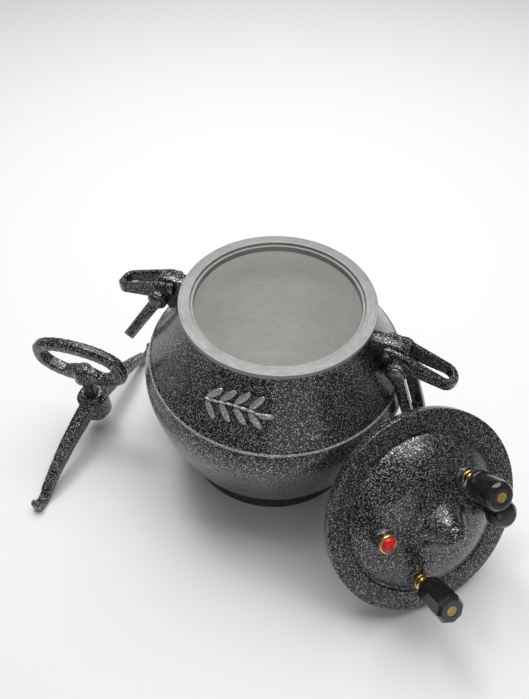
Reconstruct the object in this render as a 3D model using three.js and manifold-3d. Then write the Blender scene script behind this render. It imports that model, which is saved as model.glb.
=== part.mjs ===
// Clamp-lid pressure canner taken apart on the bench: a pot-bellied cast aluminium body with two
// looped side handles and two swinging shackles, the lid leaning against it, and the bowed clamp
// beam with its loop-handled screw standing beside it.
// Millimetres, +Z up. The origin is the centre of the pot's flat base, and +X runs through the
// right-hand handle.
import * as THREE from 'three'
import { mergeVertices } from 'three/addons/utils/BufferGeometryUtils.js'
import Module from 'manifold-3d'

const wasm = await Module()
wasm.setup()

// --- driving dimensions ---------------------------------------------------------------------
const gap = 0.3                  // clearance between pieces that touch or turn
const roundSides = 48            // sides of the large turned pieces
const smallSides = 14            // sides of pins, stems and nuts

const potHeight = 238.6
const rimRadius = 100            // outer radius of the machined rim
const rimWidth = 12
const rimHeight = 5
const mouthStep = 3              // depth and width of the ledge just inside the mouth
const bellyRadius = 145.4
const bellyHeight = 138          // height of the widest ring
const seamRadius = 137.8         // parting ridge between belly and shoulder
const seamHeight = 164.8
const footRadius = 111
const footHeight = 25
const potWall = 7
const baseThickness = 7

const lugThickness = 15.4        // lug between the two handle plates
const lugDrop = 12.1             // lug top below the pot's rim
const pinReach = 131             // pivot pin from the pot's axis
const pinDrop = 22.5             // pivot pin below the lug top
const pinRadius = 5
const rivetReach = 117.5
const rivetDrop = 10             // plate rivet below the lug top
const rivetRadius = 3
const handleReach = 190          // handle tip from the pot's axis
const handlePlate = 5.2          // thickness of a handle plate
const handleTip = 7              // length of solid metal across the tip
const handleTipDrop = 28.5       // middle of the tip below the lug top
const handleRootDepth = 18
const handleTipDepth = 12.5

const shackleLength = 95         // pivot to the middle of the cross bar
const shackleBar = 7             // thickness of a side bar
const shackleWidth = 13
const shackleCross = 14          // depth of the cross bar
const shackleLeft = 33           // outward swing at rest, degrees
const shackleRight = 22

const skirtClearance = 3         // between the pot's rim and the lid's skirt
const skirtWall = 6
const lidSkirt = 10              // height of the skirt round the pot's rim
const lidWall = 6
const domeInset = 16             // edge of the dome inside the pot's rim radius
const domeRise = 26
const bossRadius = 30
const noseHeight = 53.6          // top of the centre nose that takes the screw
const noseRadius = 10.5
const spigotClearance = 1.5      // between the mouth and the ring that drops into it
const spigotDepth = 14
const gasketThickness = 4.7
const lidLean = 55               // tilt of the lid's axis from upright, degrees
const lidTurn = -44.9            // compass direction that the leaning lid faces
const lidPlace = [200.5, -91]    // middle of the leaning lid

const stemRadius = 5
const stemNeck = 6
const capRadius = 14.5
const capTop = 70                // cap face above the flange
const capLift = 12               // brass showing below a cap
const badgeRadius = 5
const knobRadius = 15
const plugRadius = 7.4
const nutRadius = 9.5
const nutHeight = 5
const washerHeight = 1.2

const clampClearance = 68.4      // screw axis beyond the widest ring, along X
const clampForward = 76          // screw axis in front of the pot's axis
const halfSpan = 137             // clamp axis to the end of a tip
const beamWidth = 17
const beamTipWidth = 11
const beamCrown = 57             // top of the arms at the centre
const bossBottom = 27
const bossTop = 59.5
const clampBoss = 19
const collarTop = 65.5
const collarRadius = 15
const screwRadius = 7
const footPadRadius = 10
const footPadHeight = 10.5
const loopHalfWidth = 60
const loopBottom = 91
const loopTop = 155.5
const loopRod = 13
const loopDepth = 14
const hubRadius = 13
const hubTop = 114
const loopYaw = 5                // turn of the loop at rest, degrees

// --- derived places -------------------------------------------------------------------------
const mouthRadius = rimRadius - rimWidth
const flangeInner = rimRadius - domeInset // flange ends here and the dome starts
const lugTop = potHeight - lugDrop
const pinHeight = lugTop - pinDrop
const rivetHeight = lugTop - rivetDrop
const handleTipHeight = lugTop - handleTipDrop
const lidRadius = rimRadius + skirtClearance + skirtWall
const spigotRadius = mouthRadius - spigotClearance
const lean = THREE.MathUtils.degToRad(lidLean)
const lidHeight = lidRadius * Math.sin(lean) + lidSkirt * Math.cos(lean) + gap
const clampPlace = [-bellyRadius - clampClearance, -clampForward, 0]
const plateInner = lugThickness / 2 + gap
const plateOuter = plateInner + handlePlate
const plateBoss = plateOuter + 1.7
const shackleInner = plateBoss + gap
const shackleOuter = shackleInner + shackleBar
const pinHeadSeat = shackleOuter + gap
const padTopAt = (reach) => domeHeight(reach - nutRadius) + 0.4
const padBottomAt = (reach) => domeHeight(reach + nutRadius) - lidWall - 0.4

// --- solids -----------------------------------------------------------------------------------
const X = new THREE.Vector3(1, 0, 0)
const Y = new THREE.Vector3(0, 1, 0)
const Z = new THREE.Vector3(0, 0, 1)

function signedVolume(points, corners) {
  const [a, b, c] = [new THREE.Vector3(), new THREE.Vector3(), new THREE.Vector3()]
  let sum = 0
  for (let i = 0; i < corners.length; i += 3) {
    a.fromArray(points, 3 * corners[i])
    b.fromArray(points, 3 * corners[i + 1])
    c.fromArray(points, 3 * corners[i + 2])
    sum += a.dot(b.cross(c)) / 6
  }
  return sum
}

// A closed three.js geometry as a solid, with shared corners merged and faces pointing out.
function toSolid(geometry) {
  const bare = geometry.clone()
  bare.deleteAttribute('normal')
  bare.deleteAttribute('uv')
  const merged = mergeVertices(bare, 1e-4)
  const points = new Float32Array(merged.attributes.position.array)
  const all = merged.index.array
  const corners = []
  for (let i = 0; i < all.length; i += 3) {
    const [a, b, c] = [all[i], all[i + 1], all[i + 2]]
    if (a !== b && b !== c && c !== a) corners.push(a, b, c)
  }
  if (signedVolume(points, corners) < 0) corners.reverse()
  const triVerts = new Uint32Array(corners)
  return new wasm.Manifold(new wasm.Mesh({ numProp: 3, vertProperties: points, triVerts }))
}

function toGeometry(solid) {
  const { vertProperties, triVerts } = solid.getMesh()
  const geometry = new THREE.BufferGeometry()
  geometry.setAttribute('position', new THREE.BufferAttribute(vertProperties, 3))
  geometry.setIndex(new THREE.BufferAttribute(triVerts, 1))
  geometry.computeVertexNormals()
  return geometry
}

// A piece turned about +Z from [radius, height] points, moved to a place.
function turned(profile, sides = smallSides, place = [0, 0, 0]) {
  const points = profile.map(([r, z]) => new THREE.Vector2(r, z))
  const geometry = new THREE.LatheGeometry(points, sides).rotateX(Math.PI / 2)
  return toSolid(geometry.translate(...place))
}

const disc = (r, low, high, sides = smallSides, place = [0, 0, 0]) =>
  turned([[0, low], [r, low], [r, high], [0, high]], sides, place)

// A cylinder along Y through (x, z).
function crossRod(r, low, high, x, z, sides = smallSides) {
  const points = [[0, low], [r, low], [r, high], [0, high]].map(([a, b]) => new THREE.Vector2(a, b))
  return toSolid(new THREE.LatheGeometry(points, sides).translate(x, 0, z))
}

// Outlines pushed through the solid along one axis. The outline's own x and y become the other
// two axes: (x, y) along Z, (x, z) along Y and (y, z) along X.
function pushed(shape, axis, low, high, curveSegments = 6) {
  const depth = high - low
  const geometry = new THREE.ExtrudeGeometry(shape, { depth, bevelEnabled: false, curveSegments })
  if (axis === 'z') geometry.translate(0, 0, low)
  if (axis === 'y') {
    const back = Y.clone().negate()
    geometry.applyMatrix4(new THREE.Matrix4().makeBasis(X, Z, back)).translate(0, high, 0)
  }
  if (axis === 'x') geometry.applyMatrix4(new THREE.Matrix4().makeBasis(Y, Z, X)).translate(low, 0, 0)
  return toSolid(geometry)
}

const outline = (points) => new THREE.Shape(points.map(([a, b]) => new THREE.Vector2(a, b)))

function roundBar(left, right, low, high, corner) {
  const shape = new THREE.Shape()
  shape.moveTo(left + corner, low)
  shape.lineTo(right - corner, low)
  shape.absarc(right - corner, low + corner, corner, -Math.PI / 2, 0)
  shape.lineTo(right, high - corner)
  shape.absarc(right - corner, high - corner, corner, 0, Math.PI / 2)
  shape.lineTo(left + corner, high)
  shape.absarc(left + corner, high - corner, corner, Math.PI / 2, Math.PI)
  shape.lineTo(left, low + corner)
  shape.absarc(left + corner, low + corner, corner, Math.PI, Math.PI * 1.5)
  return shape
}

// --- finishes -----------------------------------------------------------------------------------
const finish = (color, roughness, metalness) =>
  new THREE.MeshStandardMaterial({ color, roughness, metalness })
const hammered = finish(0x3d3d3f, 0.35, 0.4)
const steel = finish(0x8c8c8a, 0.35, 1)
const darkSteel = finish(0x2b2a28, 0.45, 0.9)
const brass = finish(0xb08d45, 0.3, 1)
const bakelite = finish(0x0c0c0e, 0.22, 0)
const gold = finish(0xa8823c, 0.4, 0.8)
const redRubber = finish(0xa01616, 0.35, 0)
const whiteRubber = finish(0xb9b6ad, 0.7, 0)

function node(name, solid, material) {
  const mesh = new THREE.Mesh(toGeometry(solid), material)
  mesh.name = name
  return mesh
}

const group = (...children) => new THREE.Group().add(...children)

// --- pot ----------------------------------------------------------------------------------------
// Outside radius of the pot at a height, from the top of the foot to the neck.
function potRadius(z) {
  if (z <= bellyHeight) {
    const fall = 1 - (z - footHeight) / (bellyHeight - footHeight)
    const angle = Math.acos(Math.pow(fall, 1 / 1.35))
    return footRadius - 3 + (bellyRadius - footRadius + 3) * Math.pow(Math.sin(angle), 1.35)
  }
  if (z <= seamHeight) {
    const t = (z - bellyHeight) / (seamHeight - bellyHeight)
    return bellyRadius + (seamRadius - bellyRadius) * t * t
  }
  const t = (z - seamHeight) / (neckHeight() - seamHeight)
  return seamRadius + (neckRadius() - seamRadius) * t - 8 * t * (1 - t)
}

function neckHeight() { return potHeight - rimHeight - 3 }
function neckRadius() { return rimRadius - 3 }

function heightsBetween(low, high, count) {
  return Array.from({ length: count + 1 }, (_, i) => low + (high - low) * i / count)
}

function bellyHeights() {
  const lower = heightsBetween(0, Math.PI / 2, 7)
    .map((a) => footHeight + (bellyHeight - footHeight) * (1 - Math.pow(Math.cos(a), 1.35)))
  const upper = heightsBetween(bellyHeight, seamHeight, 2).slice(1)
  const shoulder = heightsBetween(seamHeight, neckHeight(), 3).slice(1)
  return { lower, upper, shoulder }
}

function potOuter() {
  const { lower, upper, shoulder } = bellyHeights()
  const profile = [[0, 0], [footRadius - 2, 0], [footRadius, 2], [footRadius, footHeight - 3]]
  for (const z of [...lower, ...upper]) profile.push([potRadius(z), z])
  profile.push([seamRadius - 1, seamHeight + 1.5])
  for (const z of shoulder) profile.push([potRadius(z), z])
  profile.push([rimRadius, potHeight - rimHeight], [rimRadius, potHeight - 1])
  profile.push([rimRadius - 1, potHeight], [0, potHeight])
  return turned(profile, roundSides)
}

function potCavity() {
  const { lower, upper, shoulder } = bellyHeights()
  const throat = mouthRadius - mouthStep
  const inside = (z) => Math.max(potRadius(z) - potWall, throat)
  const profile = [[0, baseThickness], [footRadius - potWall - 6, baseThickness]]
  profile.push([footRadius - potWall - 3.5, baseThickness + 6])
  for (const z of [...lower.slice(1), ...upper, ...shoulder.slice(0, -1)]) profile.push([inside(z), z])
  profile.push([throat, neckHeight()], [throat, potHeight - mouthStep])
  profile.push([mouthRadius, potHeight - mouthStep], [mouthRadius, potHeight + 2], [0, potHeight + 2])
  return turned(profile, roundSides)
}

// The cast lug that runs out from the neck and carries the pivot pin.
function lugBlank() {
  const nose = pinReach + 9
  const shape = new THREE.Shape()
  shape.moveTo(rimRadius - 12, lugTop)
  shape.lineTo(pinReach - 5, lugTop)
  shape.quadraticCurveTo(nose - 1, lugTop, nose, pinHeight + 5)
  shape.lineTo(nose, pinHeight - 4)
  shape.quadraticCurveTo(nose - 1, pinHeight - 14, pinReach - 3, pinHeight - 17)
  shape.quadraticCurveTo(pinReach - 6, pinHeight - 22, pinReach - 9, pinHeight - 30)
  shape.lineTo(rimRadius, pinHeight - 30)
  return pushed(shape, 'y', -lugThickness / 2, lugThickness / 2)
}

function potBody() {
  const reach = lugThickness
  let lug = lugBlank()
  lug = lug.subtract(crossRod(pinRadius + gap, -reach, reach, pinReach, pinHeight))
  lug = lug.subtract(crossRod(rivetRadius + gap, -reach, reach, rivetReach, rivetHeight))
  const lugs = [toGeometry(lug), toGeometry(lug).rotateZ(Math.PI)]
  let body = potOuter()
  for (const each of lugs) {
    each.deleteAttribute('normal')
    body = body.add(toSolid(each))
  }
  return body.subtract(potCavity())
}

// --- handles and shackles, made for the right side with the pot's axis at the origin ---------------
// A handle is a long loop whose two plates grip the lug, its open end towards the pot.
function handle() {
  const endRound = plateOuter
  const slotEnd = handleReach - handleTip
  const root = potRadius(pinHeight) + 2.5
  const plan = new THREE.Shape()
  plan.moveTo(root, -plateOuter)
  plan.lineTo(handleReach - endRound, -plateOuter)
  plan.absarc(handleReach - endRound, 0, endRound, -Math.PI / 2, Math.PI / 2)
  plan.lineTo(root, plateOuter)
  plan.lineTo(root, plateInner)
  plan.lineTo(slotEnd - plateInner, plateInner)
  plan.absarc(slotEnd - plateInner, 0, plateInner, Math.PI / 2, -Math.PI / 2, true)
  plan.lineTo(root, -plateInner)
  const rootTop = lugTop - 2
  const side = new THREE.Shape()
  side.moveTo(root, rootTop - handleRootDepth + 4)
  side.lineTo(root, rootTop - 3)
  side.quadraticCurveTo(root, rootTop, root + 4, rootTop)
  side.lineTo(pinReach, rootTop - 2)
  side.lineTo(handleReach - 9, handleTipHeight + handleTipDepth / 2)
  side.quadraticCurveTo(handleReach, handleTipHeight + handleTipDepth / 2 - 2, handleReach, handleTipHeight)
  side.quadraticCurveTo(handleReach, handleTipHeight - handleTipDepth / 2, handleReach - 9,
    handleTipHeight - handleTipDepth / 2)
  side.lineTo(pinReach + 12, rootTop - handleRootDepth - 8)
  side.quadraticCurveTo(pinReach + 4, pinHeight - 12, pinReach - 4, pinHeight - 10)
  let body = pushed(plan, 'z', handleTipHeight - 30, lugTop + 5)
    .intersect(pushed(side, 'y', -plateOuter - 1, plateOuter + 1))
  for (const turn of [-1, 1]) {
    const [low, high] = [turn * (plateOuter - 1), turn * plateBoss].sort((a, b) => a - b)
    body = body.add(crossRod(10, low, high, pinReach, pinHeight, 24))
  }
  const far = plateBoss + 2
  body = body.subtract(crossRod(pinRadius + gap, -far, far, pinReach, pinHeight))
  return body.subtract(crossRod(rivetRadius + gap, -far, far, rivetReach, rivetHeight))
}

function pivotPin() {
  const headHeight = 4.2
  const profile = [[0, -pinHeadSeat - headHeight], [5, -pinHeadSeat - headHeight + 0.6]]
  profile.push([8, -pinHeadSeat - 2], [9, -pinHeadSeat], [pinRadius, -pinHeadSeat])
  profile.push([pinRadius, pinHeadSeat], [7.5, pinHeadSeat], [7, pinHeadSeat + 2.4], [0, pinHeadSeat + 3])
  const points = profile.map(([r, y]) => new THREE.Vector2(r, y))
  return toSolid(new THREE.LatheGeometry(points, smallSides))
}

function plateRivet() {
  const seat = plateOuter + gap
  const profile = [[0, -seat - 2.2], [3, -seat - 1.8], [4.6, -seat], [rivetRadius, -seat]]
  profile.push([rivetRadius, seat], [4.6, seat], [3, seat + 1.8], [0, seat + 2.2])
  const points = profile.map(([r, y]) => new THREE.Vector2(r, y))
  return toSolid(new THREE.LatheGeometry(points, 16))
}

// A stirrup that hangs from its pivot at the origin. The pot is on its -X side.
function shackle() {
  const eye = 11
  const bottom = -shackleLength - shackleCross / 2
  const half = shackleWidth / 2
  const frame = roundBar(-shackleOuter, shackleOuter, bottom, eye + 20, 15)
  const window = roundBar(-shackleInner, shackleInner, bottom + shackleCross, eye + 30, 9)
  let body = pushed(frame, 'x', -eye, eye).subtract(pushed(window, 'x', -eye - 1, eye + 1))
  const side = new THREE.Shape()
  const join = Math.acos(half / eye)
  side.absarc(0, 0, eye, -join, Math.PI + join)
  side.lineTo(-half, bottom + half)
  side.absarc(0, bottom + half, half, Math.PI, Math.PI * 2)
  body = body.intersect(pushed(side, 'y', -shackleOuter - 1, shackleOuter + 1))
  const bevel = 4
  for (const turn of [-1, 1]) {
    const face = turn * shackleOuter
    const corner = outline([[-half - 1, face - turn * (bevel + 1)], [-half - 1, face + turn],
      [-half + bevel + 1, face + turn]])
    body = body.subtract(pushed(corner, 'z', bottom - 1, -eye - 5))
  }
  return body.subtract(crossRod(pinRadius + gap, -shackleOuter - 1, shackleOuter + 1, 0, 0))
}

function sideFittings(side, swing) {
  const body = new THREE.Group()
  body.rotation.z = side === 'left' ? Math.PI : 0
  const hanging = group(node(`shackle_${side}`, shackle(), hammered))
  hanging.position.set(pinReach, 0, pinHeight)
  hanging.rotation.y = -THREE.MathUtils.degToRad(swing)
  return body.add(node(`handle_${side}`, handle(), hammered), hanging)
}

function sideFasteners(side) {
  const turn = side === 'left' ? -1 : 1
  const pin = node(`shackle_pin_${side}`, pivotPin(), steel)
  pin.position.set(turn * pinReach, 0, pinHeight)
  const rivet = node(`handle_rivet_${side}`, plateRivet(), steel)
  rivet.position.set(turn * rivetReach, 0, rivetHeight)
  return group(pin, rivet)
}

// --- lid, with z = 0 on the flange's outer face and +Z away from the pot -----------------------------
function domeHeight(r) {
  const inner = 24
  const t = Math.max(0, (r - inner) / (flangeInner - 1 - inner))
  return domeRise * (1 - Math.pow(t, 2.2))
}

// Places on a dome of 84 mm radius, moved in or out with the dome.
const onDome = (x, y) => [x * flangeInner / 84, y * flangeInner / 84]
const fittings = {
  exhaust: onDome(-37, 37),      // tall round cap, upper right of the nose
  regulator: onDome(54, -30),    // faceted cap, below the nose
  release: onDome(7, 61),
  safety: onDome(-5, -60),
}
const reachOf = ([x, y]) => Math.hypot(x, y)

function lidOuter() {
  const profile = [[0, -lidSkirt], [lidRadius, -lidSkirt], [lidRadius, -1.5], [lidRadius - 1.5, 0]]
  profile.push([flangeInner + 3.5, 0], [flangeInner + 2.5, -1.4], [flangeInner, -1.4])
  for (const r of heightsBetween(flangeInner - 1, bossRadius + 5, 6)) profile.push([r, domeHeight(r)])
  const rise = noseHeight - 8 - domeRise
  for (const t of heightsBetween(0, 1, 4)) {
    const r = bossRadius + (noseRadius + 2 - bossRadius) * Math.pow(t, 0.75)
    profile.push([r, domeRise + rise * Math.pow(t, 1.6)])
  }
  profile.push([noseRadius, noseHeight - 7.5], [noseRadius - 0.6, noseHeight - 4.5])
  profile.push([noseRadius * 0.7, noseHeight - 1.6], [noseRadius * 0.35, noseHeight - 0.3], [0, noseHeight])
  return turned(profile, roundSides)
}

function lidInner() {
  const skirtInner = rimRadius + skirtClearance
  const profile = [[0, -lidSkirt - 8], [skirtInner, -lidSkirt - 8], [skirtInner, -lidWall]]
  profile.push([spigotRadius, -lidWall], [spigotRadius - 4.5, -lidWall])
  for (const r of heightsBetween(spigotRadius - 8, bossRadius, 5)) {
    profile.push([r, domeHeight(r) - lidWall])
  }
  profile.push([bossRadius - 12, domeRise - 3], [0, domeRise])
  return turned(profile, roundSides)
}

function lidShell() {
  let shell = lidOuter().subtract(lidInner())
  const ring = [[spigotRadius - 4.5, -lidWall + 2], [spigotRadius - 4.5, -spigotDepth]]
  ring.push([spigotRadius, -spigotDepth], [spigotRadius, -lidWall + 2], ring[0])
  shell = shell.add(turned(ring, roundSides))
  for (const place of Object.values(fittings)) {
    const reach = reachOf(place)
    const pad = disc(nutRadius + 1, padBottomAt(reach), padTopAt(reach), 24, [...place, 0])
    shell = shell.add(pad)
  }
  for (const place of Object.values(fittings)) {
    shell = shell.subtract(disc(stemRadius + gap, -20, noseHeight, smallSides, [...place, 0]))
  }
  return shell
}

function gasket() {
  const [inner, outer] = [spigotRadius + 1, rimRadius + 1]
  const [low, high] = [-lidWall - gap - gasketThickness, -lidWall - gap]
  const soft = 0.9
  return turned([[inner, low + soft], [inner + soft, low], [outer - soft, low], [outer, low + soft],
    [outer, high], [inner, high], [inner, low + soft]], roundSides)
}

function hexRing(outer, inner, low, high) {
  const hex = turned([[0, low], [outer, low], [outer, high], [0, high]], 6)
  return hex.subtract(disc(inner, low - 1, high + 1))
}

// A brass stem through the lid: washer face on the pad, neck above, shank below.
function stem(place, neckTop) {
  const reach = reachOf(place)
  const seat = padTopAt(reach) + gap
  const tail = padBottomAt(reach) - washerHeight - nutHeight - 4
  return turned([[0, tail], [stemRadius, tail], [stemRadius, seat], [nutRadius - 1, seat],
    [nutRadius - 1, seat + 3], [stemNeck, seat + 4], [stemNeck, neckTop - 2], [stemNeck - 2, neckTop],
    [0, neckTop]], smallSides)
}

function lockNut(place) {
  const top = padBottomAt(reachOf(place)) - 2 * gap - washerHeight
  return hexRing(nutRadius, stemRadius + gap, top - nutHeight, top)
}

function sealWasher(place) {
  const top = padBottomAt(reachOf(place)) - gap
  const [inner, outer] = [stemRadius + gap, nutRadius - 0.5]
  return turned([[inner, top - washerHeight], [outer, top - washerHeight], [outer, top], [inner, top],
    [inner, top - washerHeight]], smallSides)
}

// A moulded cap that drops over a stem's neck, with a shallow seat for its badge.
function valveCap(place, sides) {
  const bottom = padTopAt(reachOf(place)) + gap + capLift
  const bore = disc(stemNeck + 0.6, bottom - 1, capTop - 9)
  const seat = disc(badgeRadius + gap, capTop - 1.2, capTop + 1)
  const body = turned([[0, bottom], [capRadius - 2.2, bottom], [capRadius - 0.8, bottom + 1.5],
    [capRadius, bottom + 9], [capRadius, capTop - 3], [capRadius - 2.4, capTop], [0, capTop]], sides)
  return body.subtract(bore).subtract(seat)
}

const badge = () => disc(badgeRadius, capTop - 0.9, capTop - 0.1, 24)

function fittingSet(name, place, sides) {
  const cap = group(node(`${name}_cap`, valveCap(place, sides), bakelite),
    node(`${name}_badge`, badge(), gold))
  const set = group(cap, node(`${name}_stem`, stem(place, capTop - 10), brass),
    node(`${name}_washer`, sealWasher(place), redRubber), node(`${name}_nut`, lockNut(place), brass))
  set.position.set(...place, 0)
  return set
}

function releaseSet(place) {
  const seat = padTopAt(reachOf(place)) + gap
  const [bottom, top] = [seat + 5, seat + 24]
  const body = turned([[0, bottom], [knobRadius - 3, bottom], [knobRadius, bottom + 3],
    [knobRadius, bottom + 11], [knobRadius - 2, bottom + 16], [knobRadius - 6, top], [0, top]], 24)
  const knob = body.subtract(disc(stemNeck + gap, bottom - 1, top - 5))
  const set = group(node('release_knob', knob, bakelite),
    node('release_stem', stem(place, top - 5 - gap), brass),
    node('release_washer', sealWasher(place), redRubber), node('release_nut', lockNut(place), brass))
  set.position.set(...place, 0)
  return set
}

// The blow-out plug: a brass bush screwed through the lid, and a soft red plug held in its bore.
function safetySet(place) {
  const reach = reachOf(place)
  const seat = padTopAt(reach) + gap
  const tail = padBottomAt(reach) - washerHeight - nutHeight - 3
  const bore = 3
  const bush = turned([[bore + gap, tail], [stemRadius, tail], [stemRadius, seat], [nutRadius, seat],
    [nutRadius, seat + 5], [nutRadius - 1.2, seat + 6], [plugRadius + gap, seat + 6],
    [plugRadius + gap, seat + 2.5], [bore + gap, seat + 2.5], [bore + gap, tail]], smallSides)
  const low = seat + 2.5 + gap
  const plug = turned([[0, tail], [bore, tail], [bore, low], [plugRadius, low], [plugRadius, low + 3],
    [plugRadius * 0.85, low + 5.2], [plugRadius * 0.5, low + 6.8], [0, low + 7.3]], smallSides)
  const set = group(node('safety_bush', bush, brass), node('safety_plug', plug, redRubber),
    node('safety_washer', sealWasher(place), redRubber), node('safety_nut', lockNut(place), brass))
  set.position.set(...place, 0)
  return set
}

function lidAssembly() {
  const lid = group(node('lid_shell', lidShell(), hammered), node('lid_gasket', gasket(), whiteRubber),
    fittingSet('exhaust', fittings.exhaust, 24), fittingSet('regulator', fittings.regulator, 8),
    releaseSet(fittings.release), safetySet(fittings.safety))
  lid.position.set(...lidPlace, lidHeight)
  lid.rotation.set(0, lean, THREE.MathUtils.degToRad(lidTurn), 'ZYX')
  return lid
}

// --- clamp, with the screw's axis on Z, the beam along Y and its tips on z = 0 -------------------------
// Half of the beam's side outline, from the crown to the tip, as [y, z].
function beamTopEdge() {
  return [[0, beamCrown], [24, beamCrown - 2], [60, 44], [90, 30], [halfSpan - 22, 15],
    [halfSpan - 18, 9.5], [halfSpan - 13, 8], [halfSpan - 8, 10], [halfSpan - 6, 16],
    [halfSpan - 2, 16], [halfSpan, 12]]
}

function beamBottomEdge() {
  return [[halfSpan, 2], [halfSpan - 2, 0], [halfSpan - 13, 0], [halfSpan - 20, 3], [90, 17],
    [60, 28], [24, 36.5], [0, 38.5]]
}

function mirrored(half) {
  return [...half, ...half.slice(1, -1).reverse().map(([y, z]) => [-y, z])]
}

function beamBody() {
  const side = outline(mirrored([...beamTopEdge(), ...beamBottomEdge()]))
  let body = pushed(side, 'x', -beamWidth / 2, beamWidth / 2)
  const [root, toe] = [beamWidth / 2, beamTipWidth / 2]
  const plan = outline([[-root, 0], [-toe, -halfSpan - 1], [toe, -halfSpan - 1], [root, 0],
    [toe, halfSpan + 1], [-toe, halfSpan + 1]])
  body = body.intersect(pushed(plan, 'z', -1, beamCrown + 5))
  body = body.add(turned([[0, bossBottom], [clampBoss - 3, bossBottom], [clampBoss, bossBottom + 3],
    [clampBoss, bossTop - 1.5], [clampBoss - 1.5, bossTop], [collarRadius, bossTop],
    [collarRadius, collarTop - 1], [collarRadius - 1, collarTop], [0, collarTop]], 32))
  return body.subtract(disc(screwRadius + gap, -1, collarTop + 1, 24))
}

const padTop = bossBottom - 0.5
const padBottom = padTop - footPadHeight

function screwPad() {
  const cup = turned([[0, padBottom - 1], [7, padBottom - 1], [6, padBottom + 1], [3, padBottom + 3.5],
    [0, padBottom + 4]], smallSides)
  const body = turned([[0, padBottom], [footPadRadius - 1, padBottom], [footPadRadius, padBottom + 1],
    [footPadRadius, padTop - 3], [screwRadius + 1.5, padTop], [0, padTop]], 24)
  return body.subtract(cup).subtract(disc(5 + gap, padTop - 5.5, padTop + 1))
}

function clampScrew() {
  const end = padTop - 5.5 + gap
  return turned([[0, end], [5, end], [5, padTop + gap], [screwRadius, padTop + gap + 1.5],
    [screwRadius, hubTop - 4.5], [screwRadius - 1.5, hubTop - 3], [0, hubTop - 3]], 24)
    .subtract(crossRod(2 + gap, -20, 20, 0, pinLevel))
}

const hubBottom = loopBottom + 1.5
const pinLevel = (hubBottom + hubTop) / 2

function ovalPoint(halfWidth, halfHeight, middle, angle) {
  const power = 2 / 2.35
  const [c, s] = [Math.cos(angle), Math.sin(angle)]
  const x = halfWidth * Math.sign(c) * Math.pow(Math.abs(c), power)
  return [x, middle + halfHeight * Math.sign(s) * Math.pow(Math.abs(s), power)]
}

function loopHandle() {
  const middle = (loopBottom + loopTop) / 2
  const halfHeight = (loopTop - loopBottom) / 2
  const angles = heightsBetween(0, 2 * Math.PI, 36).slice(0, -1)
  const rim = (inset) => outline(angles.map((a) =>
    ovalPoint(loopHalfWidth - inset, halfHeight - inset, middle, a)))
  const slab = (inset, depth) => pushed(rim(inset), 'y', -depth / 2, depth / 2)
  const bevel = 3
  let ring = slab(bevel, loopDepth).add(slab(0, loopDepth - 2 * bevel))
  const hole = slab(loopRod, loopDepth + 2)
  ring = ring.subtract(hole)
  const swell = new THREE.Shape()
  swell.moveTo(-34, loopBottom + 6)
  swell.bezierCurveTo(-22, loopBottom + 14, -20, hubTop - 1, 0, hubTop - 1)
  swell.bezierCurveTo(20, hubTop - 1, 22, loopBottom + 14, 34, loopBottom + 6)
  swell.lineTo(14, hubBottom + 1)
  swell.lineTo(-14, hubBottom + 1)
  ring = ring.add(pushed(swell, 'y', -loopDepth / 2 + 1, loopDepth / 2 - 1))
  ring = ring.add(turned([[0, hubBottom], [hubRadius - 1.5, hubBottom], [hubRadius, hubBottom + 2],
    [hubRadius - 2, hubTop - 4], [hubRadius - 6, hubTop], [0, hubTop]], 24))
  ring = ring.subtract(disc(screwRadius + gap, loopBottom - 5, hubTop - 3 + gap, 24))
  return ring.subtract(crossRod(2 + gap, -20, 20, 0, pinLevel))
}

function clampAssembly() {
  const turning = group(node('clamp_screw', clampScrew(), darkSteel),
    node('loop_handle', loopHandle(), hammered),
    node('loop_pin', crossRod(2, -hubRadius + 1, hubRadius - 1, 0, pinLevel, 12), steel))
  turning.rotation.z = THREE.MathUtils.degToRad(loopYaw)
  const clamp = group(node('clamp_beam', beamBody(), hammered),
    node('screw_pad', screwPad(), darkSteel), turning)
  clamp.position.set(...clampPlace)
  return clamp
}

// --- the whole set ------------------------------------------------------------------------------
const canner = group(
  node('pot_body', potBody(), hammered),
  sideFittings('left', shackleLeft),
  sideFittings('right', shackleRight),
  sideFasteners('left'),
  sideFasteners('right'),
  lidAssembly(),
  clampAssembly(),
)

export default canner
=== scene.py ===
"""Clamp-lid pressure canner taken apart on a pale table: open pot, leaning lid, screw clamp."""
from math import acos, atan2, cos, hypot, pi, radians, sin
import bpy
from mathutils import Matrix, Vector


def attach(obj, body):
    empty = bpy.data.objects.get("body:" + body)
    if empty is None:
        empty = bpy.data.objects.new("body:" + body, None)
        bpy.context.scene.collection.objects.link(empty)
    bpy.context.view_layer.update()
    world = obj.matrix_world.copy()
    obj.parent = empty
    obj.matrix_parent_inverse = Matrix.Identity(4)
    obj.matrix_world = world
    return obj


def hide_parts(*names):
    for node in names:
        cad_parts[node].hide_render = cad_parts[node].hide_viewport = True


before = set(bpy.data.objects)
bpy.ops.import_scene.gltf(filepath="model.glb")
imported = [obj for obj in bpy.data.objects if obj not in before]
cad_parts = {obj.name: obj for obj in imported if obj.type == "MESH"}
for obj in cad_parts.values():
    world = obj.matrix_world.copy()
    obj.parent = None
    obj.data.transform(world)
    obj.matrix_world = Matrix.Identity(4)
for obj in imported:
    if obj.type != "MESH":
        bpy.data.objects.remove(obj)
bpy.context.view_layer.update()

# --- pot --------------------------------------------------------------------------------------
# A pot-bellied sand casting in aluminium, about 7 mm thick, with a lug on each side of its neck.
# The outside is sprayed with grey hammer finish over black, with darker flakes on the foot. The rim,
# the seat for the lid and the whole inside are turned bare on a lathe; the inside is brightened as
# painted light and the rim darkened as painted shade. The parting ridge and the sprig carry a painted
# highlight.


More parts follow.
